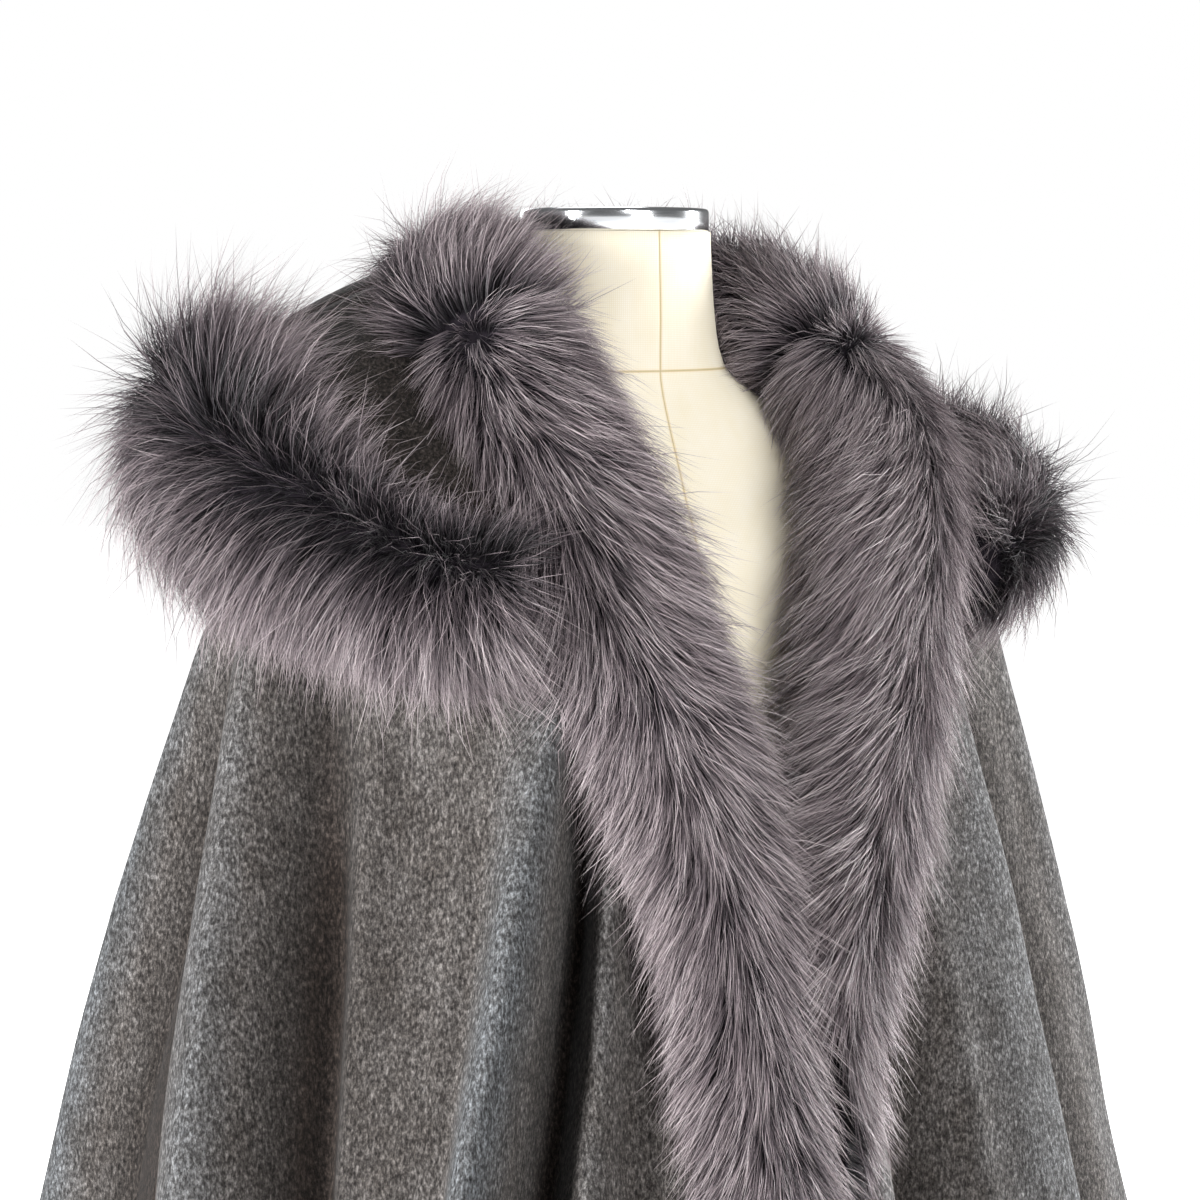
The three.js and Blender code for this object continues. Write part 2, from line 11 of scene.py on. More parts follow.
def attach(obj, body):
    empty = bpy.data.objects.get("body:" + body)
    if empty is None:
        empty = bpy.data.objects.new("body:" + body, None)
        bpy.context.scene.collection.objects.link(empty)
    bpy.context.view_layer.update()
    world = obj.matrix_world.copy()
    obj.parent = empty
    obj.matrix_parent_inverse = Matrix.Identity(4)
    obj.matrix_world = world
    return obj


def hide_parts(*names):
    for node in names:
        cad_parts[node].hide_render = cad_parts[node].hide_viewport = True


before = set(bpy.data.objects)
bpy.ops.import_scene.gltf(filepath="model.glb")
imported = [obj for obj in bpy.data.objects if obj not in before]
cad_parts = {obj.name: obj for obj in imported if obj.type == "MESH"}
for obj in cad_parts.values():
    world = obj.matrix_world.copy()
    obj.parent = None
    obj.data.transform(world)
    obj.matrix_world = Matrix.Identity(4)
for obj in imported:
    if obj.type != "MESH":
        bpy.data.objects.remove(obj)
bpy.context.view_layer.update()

rng = np.random.default_rng(11)

# The tables are in millimetres, as the pattern was drawn; everything made from them is in metres
MM = 0.001


def table(names, rows):
    """Named columns of a table of sizes."""
    return dict(zip(names.split(), np.array(rows, float).T))


# Form

NECK_TOP = 1486
FORM = table(
    "z half_width front back",
    [
        (752, 158, 106, 112),
        (790, 170, 113, 121),
        (860, 175, 116, 130),
        (920, 166, 111, 124),
        (970, 143, 99, 106),
        (1015, 123, 91, 90),
        (1060, 126, 94, 88),
        (1110, 137, 102, 91),
        (1160, 147, 112, 94),
        (1205, 155, 119, 95),
        (1240, 163, 121, 94),
        (1275, 177, 115, 89),
        (1305, 188, 105, 80),
        (1327, 193, 93, 68),
        (1342, 190, 86, 61),
        (1359.8, 153, 77, 60),
        (1378.2, 115, 68, 61),
        (1396, 78, 61, 62),
        (1412, 66, 60, 61),
        (1436, 61, 60, 60),
        (1462, 59, 59, 59),
        (NECK_TOP, 58, 58, 58),
    ],
)
FORM_ROUNDNESS = 2.15

# Cape, one row a ring from neck to hem

CAPE = table(
    "side half_width front back front_depth back_depth right_edge left_edge",
    [
        (1396.9, 84, 1384, 1412, 74, 76, 62, 62),
        (1378.6, 122, 1366, 1396, 86, 86, 50, 58),
        (1360.2, 160, 1346, 1378, 98, 95, 43, 51),
        (1346.7, 188, 1332, 1362, 106, 101, 39, 48),
        (1332, 214, 1319, 1343, 112, 107, 37, 45),
        (1312, 235, 1303, 1319, 118, 113, 34, 42),
        (1284, 250, 1280, 1287, 125, 119, 30, 39),
        (1243, 263, 1243, 1243, 133, 128, 25, 35),
        (1185, 277, 1185, 1185, 142, 138, 17, 29),
        (1100, 301, 1100, 1100, 158, 154, 9, 19),
        (990, 328, 990, 990, 182, 178, 5, 8),
        (850, 357, 850, 850, 212, 208, 3, 5),
        (650, 402, 650, 650, 250, 246, 2, 4),
        (430, 448, 430, 430, 286, 280, 1, 4),
    ],
)
CAPE_ROUNDNESS = 2.25
HEM_Z = 430
SHELL = 2.4
SEAM_GAP = 0.3
HANDLED_PUSH = 1.3

# Folds, one row for each ridge and each hollow between: angle under the fur trim, angle from the waist
# down, height where it starts, and push in or out. The cloth swings smoothly from each row to the next.
FOLD_TOP_Z = 1345
FOLD_FULL_Z = 1080
FOLD_SETTLED_Z = 900
FOLD_GROWTH = 0.6
HEM_FLARE = 0.25
# Fold push in millimetres for each whole step of the wool's painted fold shading: painted shade in the
# hollows, painted highlight on the ridges
FOLD_SHADE_SPREAD = 80
FOLDS = table(
    "top low start push",
    [
        (-122, -121, 1320, -20),
        (-110, -109, 1345, 38),
        (-100, -99, 1320, -36),
        (-90, -90, 1320, -36),
        (-82, -70.5, 1345, 16),
        (-76.5, -66.5, 1320, -50),
        (-66, -60, 1320, -14),
        (-50, -50, 1320, -2),
        (-34, -47, 1290, 34),
        (-29.5, -40, 1215, -40),
        (-25, -32, 1215, 8),
        (-20, -23, 1215, -12),
        (-12, -12, 1345, 0),
        (10, 10, 1345, 0),
        (24, 20, 1200, 8),
        (37, 32, 1200, -24),
        (46, 42, 1260, 6),
        (57, 53, 1345, 18),
        (66, 61, 1320, -34),
        (75, 72, 1345, 14),
        (81, 80, 1320, -30),
        (90, 90, 1345, 22),
        (106, 108, 1320, -30),
        (118, 123, 1345, 30),
        (132, 137, 1320, -32),
        (147, 151, 1345, 32),
        (163, 166, 1320, -14),
        (180, 180, 1345, 28),
        (198, 197, 1320, -14),
        (212, 212, 1345, 32),
        (227, 228, 1320, -30),
    ],
)

# Small soft creases of the heavy wool: angle in degrees, top and foot heights, depth (in is negative),
# half width in degrees, and how far it sways
CREASES = table(
    "angle top foot depth wide sway",
    [
        (-84, 1290, 430, -7, 1.8, 2),
        (-74, 1260, 760, 4, 2.6, 3),
        (-63, 1240, 980, -3, 2.4, 3),
        (-52, 1200, 620, -3, 3.0, 4),
        (-46, 1150, 880, 3, 2.2, -3),
        (-33, 1190, 940, -5, 1.9, 3),
        (-24, 1080, 560, -4, 2.0, -2),
        (34, 1160, 700, -4, 2.2, 3),
        (46, 1210, 860, 3, 2.4, -3),
        (63, 1260, 900, -3, 2.0, 3),
        (72, 1270, 430, -7, 1.8, 2),
        (84, 1240, 760, 3, 2.5, 3),
        (99, 1200, 560, -4, 2.4, -3),
        (112, 1260, 700, -3, 2.2, 3),
        (127, 1230, 520, -4, 2.3, -3),
        (141, 1190, 800, 3, 2.6, 3),
        (156, 1240, 480, -4, 2.2, 3),
        (172, 1200, 640, -3, 2.4, -3),
        (189, 1250, 560, -4, 2.3, 3),
        (205, 1180, 760, 3, 2.6, -3),
        (219, 1240, 520, -4, 2.2, 3),
        (235, 1200, 680, -3, 2.4, -3),
        (250, 1250, 480, -4, 2.3, 2),
        (263, 1180, 700, 3, 2.5, -3),
    ],
)

# Fur edge from the right front's hem round the neck to the left front's hem

RIGHT_BAND = [
    (-2, -292, 424, 50, 44, 0),
    (-4, -262, 640, 50, 45, 0),
    (-6, -223, 850, 51, 46, 0),
    (-9, -195, 980, 52, 47, 0),
    (-17, -174, 1085, 55, 48, 0),
    (-33, -160, 1160, 59, 48, 0),
    (-52, -147, 1222, 66, 48, 0),
    (-74, -130, 1286, 69, 50, 20),
    (-92, -106, 1342, 70, 54, 40),
    (-104, -70, 1392, 71, 60, 60),
]
COLLAR = [
    (-107, -24, 1428, 70, 65, 80),
    (-96, 32, 1449, 58, 56, 80),
    (-60, 78, 1460, 48, 49, 80),
    (0, 97, 1463, 42, 47, 80),
    (60, 79, 1458, 47, 49, 80),
    (97, 34, 1440, 55, 54, 80),
    (116, -20, 1412, 64, 61, 80),
]
LEFT_BAND = [
    (130, -66, 1378, 70, 58, 60),
    (130, -102, 1332, 73, 54, 40),
    (114, -126, 1275, 75, 50, 20),
    (98, -140, 1200, 74, 48, 0),
    (72, -156, 1120, 66, 45, 0),
    (43, -174, 1045, 56, 42, 0),
    (24, -193, 960, 48, 40, 0),
    (17, -216, 860, 45, 38, 0),
    (14, -257, 640, 44, 36, 0),
    (14, -290, 424, 44, 36, 0),
]
EDGE = table("x y z across deep rise", RIGHT_BAND + COLLAR + LEFT_BAND)

# Capelet and its fur trim, from the left front edge round the back to the right front edge

CAPELET = table(
    "x y z across deep neck_x neck_y neck_z belly",
    [
        (190, -108, 1280, 46, 40, 98, -48, 1396, 4),
        (240, -72, 1294, 54, 54, 104, -26, 1410, 8),
        (267, -14, 1313, 60, 58, 104, 0, 1426, 8),
        (259, 48, 1334, 60, 57, 99, 28, 1442, 8),
        (208, 98, 1340, 58, 55, 88, 60, 1457, 6),
        (136, 129, 1326, 57, 53, 62, 91, 1470, 4),
        (66, 144, 1305, 56, 52, 32, 108, 1477, 3),
        (0, 149, 1296, 56, 52, 0, 114, 1480, 3),
        (-66, 142, 1311, 57, 52, -32, 108, 1482, 3),
        (-142, 118, 1348, 60, 53, -62, 92, 1482, 4),
        (-212, 78, 1376, 66, 56, -86, 64, 1478, 6),
        (-251, 16, 1364, 76, 60, -97, 32, 1462, 10),
        (-243, -52, 1336, 74, 60, -100, 2, 1444, 12),
        (-196, -110, 1302, 61, 54, -98, -26, 1428, 10),
        (-136, -136, 1287, 52, 42, -94, -44, 1412, 4),
    ],
)
TRIM_GRIP = 0.45
SHOULDER_LEFT = 0.21
SHOULDER_RIGHT = 0.78

# Shares along the paths at which the fur pieces meet
EDGE_SPANS = len(EDGE["x"]) - 1
COLLAR_FROM = (len(RIGHT_BAND) - 0.5) / EDGE_SPANS
COLLAR_TO = (len(RIGHT_BAND) + len(COLLAR) - 0.5) / EDGE_SPANS
TRIM_LEFT_TO = 0.36
TRIM_RIGHT_FROM = 0.64

# Shapes worked out from the tables


def smooth_at(column, share):
    """A column's value at a share of the way along its rows, by a smooth curve."""
    along = np.clip(share, 0, 1) * (len(column) - 1)
    i = np.minimum(along.astype(int), len(column) - 2)
    t = along - i
    ends = [2 * column[0] - column[1]], column, [2 * column[-1] - column[-2]]
    p0, p1, p2, p3 = (np.concatenate(ends)[i + k] for k in range(4))
    bend = 2 * p0 - 5 * p1 + 4 * p2 - p3
    twist = 3 * (p1 - p2) + p3 - p0
    return p1 + t * (p2 - p0 + t * (bend + t * twist)) / 2


def outline_reach(angle, half_width, depth, roundness):
    """Distance from the middle to a rounded-box outline, at an angle from the front."""
    wide = np.abs(np.sin(angle)) / half_width
    deep = np.abs(np.cos(angle)) / depth
    return (wide**roundness + deep**roundness) ** (-1 / roundness)


def turn_between(a, b):
    """Signed difference of two angles, in degrees."""
    return (a - b + 180) % 360 - 180


def unit(v):
    """Vectors cut to a length of 1."""
    return v / np.maximum(np.linalg.norm(v, axis=-1, keepdims=True), 1e-9)


def grown(z, from_z, to_z):
    """How far z has come on its way down between two heights, from 0 to 1."""
    return np.clip((from_z - z) / (from_z - to_z), 0, 1)


def fold_push(angle, z):
    """How far the folds and creases push the cape out."""
    drift = grown(z, FOLD_TOP_Z, FOLD_SETTLED_Z)[..., None]
    degrees = np.degrees(angle)
    turns = FOLDS["top"] + (FOLDS["low"] - FOLDS["top"]) * drift
    depths = FOLDS["push"] * grown(z[..., None], FOLDS["start"], FOLD_FULL_Z) ** FOLD_GROWTH
    push = np.zeros_like(z)
    for i in range(len(FOLDS["push"])):
        start = turns[..., i - 1]
        way = ((degrees - start) % 360) / ((turns[..., i] - start) % 360)
        rise = depths[..., i] - depths[..., i - 1]
        push += np.where(way < 1, depths[..., i - 1] + rise * way * way * (3 - 2 * way), 0)
    push *= 1 + HEM_FLARE * grown(z, FOLD_FULL_Z, HEM_Z)
    for angle_0, top, foot, depth, wide, sway in zip(*CREASES.values()):
        down = grown(z, top, foot)
        ease = np.sin(np.pi * down**0.7) ** 0.6
        wander = sway * np.sin(down * 3.1 + angle_0) + 0.7 * np.sin(down * 11 + angle_0)
        away = turn_between(degrees, angle_0 + wander)
        push += depth * ease * np.exp(-((away / wide) ** 2))
    return push


def cape_point(angle, share):
    """Points on the cape's outer face, in millimetres."""
    row = {name: smooth_at(column, share) for name, column in CAPE.items()}
    to_front = np.cos(angle)
    end = np.where(to_front > 0, row["front"], row["back"])
    depth = np.where(to_front > 0, row["front_depth"], row["back_depth"])
    z = row["side"] + (end - row["side"]) * to_front**2
    reach = outline_reach(angle, row["half_width"], depth, CAPE_ROUNDNESS)
    reach = reach + fold_push(angle, z)
    # Slow unevenness of a cloth that has been handled
    reach = reach + HANDLED_PUSH * np.sin(z / 47 + 3 * angle) * np.sin(angle * 9 + z / 90)
    return np.stack([np.sin(angle) * reach, -np.cos(angle) * reach, z], -1)


def capelet_point(share, down):
    """Points on the capelet's outer face, in millimetres."""
    row = {name: smooth_at(column, share) for name, column in CAPELET.items()}
    neck = np.stack([row["neck_x"], row["neck_y"], row["neck_z"]], -1)
    edge = np.stack([row["x"], row["y"], row["z"] + row["across"] * TRIM_GRIP], -1)
    point = neck + (edge - neck) * down[..., None]
    ripple = 2.0 * np.sin(share * 60) * np.sin(np.pi * down)
    point[..., 2] += 4 * down * (1 - down) * row["belly"] + ripple
    return point


def fur_frame(path, share):
    """Where a fur path is, and its ways along, outward and across, with its half sizes."""
    step = 0.004

    def at(where):
        return np.stack([smooth_at(path[name], where) for name in "xyz"], -1)

    place = at(share)
    along = unit(at(share + step) - at(share - step))
    rise = smooth_at(path["rise"], share) if "rise" in path else np.zeros_like(share)
    out = np.stack([place[..., 0], place[..., 1], rise], -1)
    out = unit(out - along * (out * along).sum(-1, keepdims=True))
    side = np.cross(out, along)
    across = smooth_at(path["across"], share)
    deep = smooth_at(path["deep"], share)
    return place, along, out, side, across, deep


# Meshes


def linked(name, mesh):
    """A smooth object of a mesh, in the scene."""
    mesh.shade_smooth()
    made = bpy.data.objects.new(name, mesh)
    bpy.context.scene.collection.objects.link(made)
    return made


def mesh_object(name, points, faces):
    """An object in the scene, from points in metres and faces with any number of corners."""
    mesh = bpy.data.meshes.new(name)
    mesh.from_pydata([tuple(p) for p in points], [], [tuple(f) for f in faces])
    mesh.validate()
    return linked(name, mesh)


def painted(piece, name, values):
    """A number at each point, which a material reads by its name."""
    layer = piece.data.attributes.new(name, "FLOAT", "POINT")
    layer.data.foreach_set("value", np.asarray(values, np.float32).ravel())


def grid_faces(rows, columns, wrap=False):
    """Quads of a grid of points, row by row."""
    r, c = np.meshgrid(np.arange(rows - 1), np.arange(columns if wrap else columns - 1), indexing="ij")
    beyond = (c + 1) % columns
    quads = [r * columns + c, (r + 1) * columns + c, (r + 1) * columns + beyond, r * columns + beyond]
    return np.stack([q.ravel() for q in quads], 1)


def capped_tube(rows, columns):
    """Faces of a closed tube of rings, with a flat face over each end."""
    first_ring = range(columns)
    last_ring = range((rows - 1) * columns, rows * columns)
    sides = [tuple(q) for q in grid_faces(rows, columns, wrap=True)[:, ::-1]]
    return sides + [tuple(first_ring)[::-1], tuple(last_ring)]


def finish_piece(piece, material, slot, *nodes):
    """Gives a piece its material, its body and the CAD nodes it stands for."""
    piece.data.materials.append(material)
    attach(piece, "root")
    if nodes:
        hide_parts(*nodes)
    return piece


def thicken(piece, thickness):
    """Cloth thickness to the inside of its outer face."""
    shell = piece.modifiers.new("thickness", "SOLIDIFY")
    shell.thickness = thickness
    shell.offset = -1
    shell.use_even_offset = False
    return piece


def turned(name, profile, material, slot, node):
    """A turned piece from a profile of radius and height, closed on the axis."""
    segments = 96
    turn = np.linspace(0, 2 * np.pi, segments, endpoint=False)
    radius = np.array([p[0] for p in profile])[:, None]
    height = np.array([p[1] for p in profile])[:, None] + 0 * turn
    points = np.stack([radius * np.sin(turn), -radius * np.cos(turn), height], -1)
    flat = points.reshape(-1, 3) * MM
    faces = grid_faces(len(profile), segments, wrap=True)[:, ::-1]
    piece = mesh_object(name, flat, faces)
    weld = piece.modifiers.new("axis", "WELD")
    weld.merge_threshold = 1e-5
    return finish_piece(piece, material, slot, node)


# Materials


def linear(code):
    """An sRGB hex colour as linear values, opaque."""
    parts = [int(code[i : i + 2], 16) / 255 for i in (1, 3, 5)]
    return tuple(p / 12.92 if p <= 0.04045 else ((p + 0.055) / 1.055) ** 2.4 for p in parts) + (1.0,)


def node(tree, kind, settings=None, links=None):
    """Adds a node, sets its properties and sockets, and links outputs into its inputs. A socket goes by
    its name or number, and stops are the positions and colours of a ramp."""
    made = tree.nodes.new(kind)
    for name, value in (settings or {}).items():
        if name == "stops":
            elements = made.color_ramp.elements
            while len(elements) < len(value):
                elements.new(0.5)
            for element, (position, colour) in zip(elements, value):
                element.position = position
                element.color = linear(colour)
        elif isinstance(name, int) or name in made.inputs:
            made.inputs[name].default_value = value
        else:
            setattr(made, name, value)
    for name, output in (links or {}).items():
        tree.links.new(output, made.inputs[name])
    return made


def new_material(name, **sockets):
    """A material with one Principled shader, its plain values set on the shader."""
    material = bpy.data.materials.new(name)
    material.use_nodes = True
    tree = material.node_tree
    shader = tree.nodes["Principled BSDF"]
    for socket, value in sockets.items():
        shader.inputs[socket.replace("_", " ")].default_value = value
    return material, tree, shader


def per_metre(millimetres):
    """Texture scale for features of a real size."""
    return 1000 / millimetres


def bands(millimetres):
    """Wave texture scale for threads of a real pitch: its bands repeat each tau / 20."""
    return math.tau / 20 * per_metre(millimetres)


# A mix node that multiplies a base colour by a tone, and the numbers of its sockets
MULTIPLIED = {"data_type": "RGBA", "blend_type": "MULTIPLY"}
AMOUNT, BASE, TONE, MIXED = 0, 6, 7, 2


def mottled(tree, grain, stops):
    """A colour that varies by a noise: its size in millimetres, its stretch, and its other settings."""
    place = node(tree, "ShaderNodeTexCoord").outputs["Object"]
    spread = node(tree, "ShaderNodeMapping", {"Scale": grain["scale"]}, {"Vector": place})
    settings = {name: value for name, value in grain.items() if name not in ("size", "scale")}
    settings["Scale"] = per_metre(grain["size"])
    noise = node(tree, "ShaderNodeTexNoise", settings, {"Vector": spread.outputs["Vector"]})
    tone = node(tree, "ShaderNodeValToRGB", {"stops": stops}, {"Fac": noise.outputs["Fac"]})
    return tone.outputs["Color"]


def melange_wool():
    """Milled wool coating, woven from mixed light and dark fibres, then brushed downward: a matt cloth
    with flecks and short streaks along the brushing. Its colour is painted lighter along the ridges of
    the folds, a painted highlight, and dark and warm in the hollows, a painted shade, so that the drape
    reads from far off."""
    material, tree, shader = new_material(
        "melange_wool",
        Roughness=0.95,
        Sheen_Weight=0.14,
        Sheen_Roughness=0.5,
        Specular_IOR_Level=0.15,
    )
    shader.inputs["Sheen Tint"].default_value = linear("#cfd6da")
    # Size in millimetres, stretch along the brushing, detail and roughness of each noise
    sizes = {
        "flecks": (2.1, 0.55, 4.0, 0.75),
        "fibres": (1.1, 0.3, 2.0, 0.6),
        "clouds": (24, 0.6, 4.0, 0.65),
    }
    stops = {
        "flecks": [(0.32, "#363433"), (0.44, "#5f5d5c"), (0.55, "#8b8a89"), (0.68, "#c6c6c6")],
        "fibres": [(0.30, "#77777a"), (0.66, "#ffffff")],
        "clouds": [(0.32, "#c9c6c3"), (0.66, "#f8fafc")],
        # Painted fold shading: dark warm painted shade in the hollows, cool light painted highlight on
        # the ridges
        "fold": [(0.0, "#7a6c64"), (0.22, "#b0a8a3"), (0.5, "#e7dfda"), (0.85, "#f5faff")],
    }
    place = node(tree, "ShaderNodeTexCoord").outputs["Object"]
    factors = {}
    for name, (size, stretch, detail, roughness) in sizes.items():
        brushed = node(tree, "ShaderNodeMapping", {"Scale": (1, 1, stretch)}, {"Vector": place})
        settings = {"Scale": per_metre(size), "Detail": detail, "Roughness": roughness}
        noise = node(tree, "ShaderNodeTexNoise", settings, {"Vector": brushed.outputs["Vector"]})
        factors[name] = noise.outputs["Fac"]
    factors["fold"] = node(tree, "ShaderNodeAttribute", {"attribute_name": "fold"}).outputs["Fac"]
    tones = {
        name: node(tree, "ShaderNodeValToRGB", {"stops": stops[name]}, {"Fac": factor}).outputs["Color"]
        for name, factor in factors.items()
    }
    colour = tones["flecks"]
    for name, amount in (("fibres", 0.8), ("clouds", 0.85), ("fold", 1.0)):
        settings = {**MULTIPLIED, AMOUNT: amount}
        colour = node(tree, "ShaderNodeMix", settings, {BASE: colour, TONE: tones[name]}).outputs[MIXED]
    tree.links.new(colour, shader.inputs["Base Color"])
    pile = {0: factors["flecks"], 1: factors["fibres"]}
    height = node(tree, "ShaderNodeMath", {"operation": "ADD"}, pile)
    relief = {"Height": height.outputs["Value"]}
    bump = node(tree, "ShaderNodeBump", {"Strength": 0.5, "Distance": 0.0008}, relief)
    tree.links.new(bump.outputs["Normal"], shader.inputs["Normal"])
    return material


def long_fur():
    """Fox fur, dyed taupe and combed: dark woolly undercoat at the skin, then mauve grey hair with
    silvery tips. Each strand's map runs from skin to tip, and across the pelt's mixed tints."""
    material, tree, shader = new_material(
        "long_fur",
        Roughness=0.5,
        Specular_IOR_Level=0.4,
        Sheen_Weight=0.1,
        Sheen_Roughness=0.4,
    )
    strand_map = node(tree, "ShaderNodeUVMap", {"uv_map": "OFBake"})
    split = node(tree, "ShaderNodeSeparateXYZ", links={"Vector": strand_map.outputs["UV"]})
    skin = [(0.0, "#121115"), (0.24, "#2b282e"), (0.46, "#70696e")]
    tips = [(0.72, "#b9b1b3"), (1.0, "#e4dedd")]
    tints = [(0.0, "#564f54"), (0.28, "#968d91"), (0.55, "#c9c1c4"), (0.80, "#efe9ea"), (1.0, "#ffffff")]
    along = node(tree, "ShaderNodeValToRGB", {"stops": skin + tips}, {"Fac": split.outputs["Y"]})
    tint = node(tree, "ShaderNodeValToRGB", {"stops": tints}, {"Fac": split.outputs["X"]})
    layers = {BASE: along.outputs["Color"], TONE: tint.outputs["Color"]}
    mixed = node(tree, "ShaderNodeMix", {**MULTIPLIED, AMOUNT: 1.0}, layers)
    tree.links.new(mixed.outputs[MIXED], shader.inputs["Base Color"])
    return material


def fur_undercoat():
    """The pelt's skin and woolly underhair: almost black between the long hairs."""
    material, tree, shader = new_material("fur_undercoat", Roughness=1.0, Specular_IOR_Level=0.1)
    clumped = {"size": 6, "scale": (1, 1, 1), "Detail": 3.0}
    colour = mottled(tree, clumped, [(0.3, "#17151a"), (0.7, "#2f2a30")])
    tree.links.new(colour, shader.inputs["Base Color"])
    return material


THREAD_PITCH = 1.1


def ivory_linen():
    """Plain-woven linen glued over the padded form: matt, warm ivory, with faint slubs and a fine even
    grid of threads. The seams between its panels hold a little dust and read as thin brown lines."""
    material, tree, shader = new_material(
        "ivory_linen",
        Roughness=0.8,
        Specular_IOR_Level=0.3,
        Sheen_Weight=0.08,
    )
    place = node(tree, "ShaderNodeTexCoord").outputs["Object"]
    # Real threads are about 0.5 mm apart, and these are drawn coarser so that they show
    grid = {}
    for i, axis in enumerate("XZ"):
        settings = {
            "wave_type": "BANDS",
            "bands_direction": axis,
            "Scale": bands(THREAD_PITCH),
            "Distortion": 0.8,
        }
        grid[i] = node(tree, "ShaderNodeTexWave", settings, {"Vector": place}).outputs["Fac"]
    weave = node(tree, "ShaderNodeMath", {"operation": "MULTIPLY"}, grid).outputs["Value"]
    slubs = {"size": 14, "scale": (1, 1, 0.4), "Detail": 4.0, "Roughness": 0.6}
    colour = mottled(tree, slubs, [(0.3, "#faf3df"), (0.7, "#fdf8ea")])
    seam = node(tree, "ShaderNodeAttribute", {"attribute_name": "seam"}).outputs["Fac"]
    threads = [(0.0, "#f4ecdc"), (0.6, "#ffffff")]
    dust = [(0.0, "#ffffff"), (0.35, "#f6eedd"), (1.0, "#cbbf9f")]
    for factor, stops, amount in ((weave, threads, 0.6), (seam, dust, 1.0)):
        tone = node(tree, "ShaderNodeValToRGB", {"stops": stops}, {"Fac": factor}).outputs["Color"]
        settings = {**MULTIPLIED, AMOUNT: amount}
        colour = node(tree, "ShaderNodeMix", settings, {BASE: colour, TONE: tone}).outputs[MIXED]
    tree.links.new(colour, shader.inputs["Base Color"])
    bump = node(tree, "ShaderNodeBump", {"Strength": 0.25, "Distance": 0.0002}, {"Height": weave})
    tree.links.new(bump.outputs["Normal"], shader.inputs["Normal"])
    return material


def polished_chrome():
    """Spun steel, chrome plated and polished: a clear mirror with faint turning lines."""
    material, tree, shader = new_material("polished_chrome", Metallic=1.0, Roughness=0.16)
    turning = {"size": 5, "scale": (0.2, 0.2, 6), "Detail": 2.0}
    colour = mottled(tree, turning, [(0.3, "#d3d6da"), (0.7, "#eceef0")])
    tree.links.new(colour, shader.inputs["Base Color"])
    return material


def brushed_steel():
    """Turned and brushed steel, lacquered: soft grey streaks along the turning."""
    material, tree, shader = new_material("brushed_steel", Metallic=1.0, Roughness=0.32)
    streaks = {"size": 2, "scale": (0.3, 0.3, 1), "Detail": 3.0}
    colour = mottled(tree, streaks, [(0.3, "#8d9094"), (0.7, "#b4b7bb")])
    tree.links.new(colour, shader.inputs["Base Color"])
    return material


def studio_paper():
    """Seamless background paper, matt white."""
    material, _, shader = new_material("studio_paper", Roughness=0.95, Specular_IOR_Level=0.1)
    shader.inputs["Base Color"].default_value = linear("#f8f8f8")
    shader.inputs["Emission Color"].default_value = linear("#ffffff")
    shader.inputs["Emission Strength"].default_value = 1.0
    return material


WOOL = melange_wool()
FUR = long_fur()
UNDERCOAT = fur_undercoat()
LINEN = ivory_linen()
CHROME = polished_chrome()
STEEL = brushed_steel()
PAPER = studio_paper()

# Dress form and stand


# Seams in degrees and, at the neck, by height. Points lie closer by a seam, and its groove is this wide
# and deep in millimetres.
SEAM_ANGLES = (0, 180)
NECK_SEAM = 1403
SEAM_STEPS = np.array([-2.4, -1.1, -0.5, 0, 0.5, 1.1, 2.4])
SEAM_CLEAR = 3.5
SEAM_WIDTH = 0.6
SEAM_DEPTH = 0.5
TORSO_TURN_STEP = 4.0
TORSO_LEVELS = 84


def form_torso():
    """The covered form, with its sewn seams as fine grooves: centre front, centre back and neck."""
    even = np.arange(-180, 180, TORSO_TURN_STEP)
    near_seam = np.abs(turn_between(even[:, None], np.array(SEAM_ANGLES))).min(1) < SEAM_CLEAR
    degrees = np.concatenate([even[~near_seam], *(a + SEAM_STEPS for a in SEAM_ANGLES)])
    angle = np.radians(np.sort((degrees + 180) % 360 - 180))[None, :]
    fine = np.linspace(0, 1, 2000)
    even_levels = np.linspace(FORM["z"][0], NECK_TOP, TORSO_LEVELS)
    levels = np.concatenate([even_levels, NECK_SEAM + SEAM_STEPS])
    share = np.interp(np.sort(levels), smooth_at(FORM["z"], fine), fine)[:, None]
    rows, columns = len(share), angle.size
    row = {name: smooth_at(column, share + 0 * angle) for name, column in FORM.items()}
    depth = np.where(np.cos(angle) > 0, row["front"], row["back"])
    reach = outline_reach(angle, row["half_width"], depth, FORM_ROUNDNESS)
    aways = [np.radians(turn_between(np.degrees(angle), a)) * reach for a in SEAM_ANGLES]
    away = np.minimum(np.abs(aways).min(0), np.abs(row["z"] - NECK_SEAM))
    seam = np.exp(-((away / SEAM_WIDTH) ** 2))
    reach = reach - SEAM_DEPTH * seam
    points = np.stack([np.sin(angle) * reach, -np.cos(angle) * reach, row["z"]], -1).reshape(-1, 3)
    faces = capped_tube(rows, columns)
    piece = mesh_object("form_cover", points * MM, faces)
    painted(piece, "seam", seam)
    return finish_piece(piece, LINEN, "linen", "form_torso")


def rounded(radius, low, high, edge, steps=6):
    """Profile of a disc with a rounded top edge and a small bevel below."""
    bevel = edge / 4
    profile = [(0, low), (radius - bevel, low), (radius, low + bevel)]
    for k in range(steps + 1):
        turn = math.pi / 2 * k / steps
        profile.append((radius - edge + edge * math.cos(turn), high - edge + edge * math.sin(turn)))
    return profile + [(radius - 3 * edge, high), (0, high)]


form_torso()
turned("form_cap", rounded(58, NECK_TOP + 0.3, NECK_TOP + 14, 2.5), CHROME, "chrome", "form_neck_cap")
pole = [(0, 12.3), (16, 12.3), (16, 200), (16, 400), (16, 751.7), (0, 751.7)]
turned("stand_pole", pole, STEEL, "steel", "form_pole")
turned("stand_base", rounded(200, 0, 12, 4), STEEL, "steel", "form_base")

# Cape and capelet

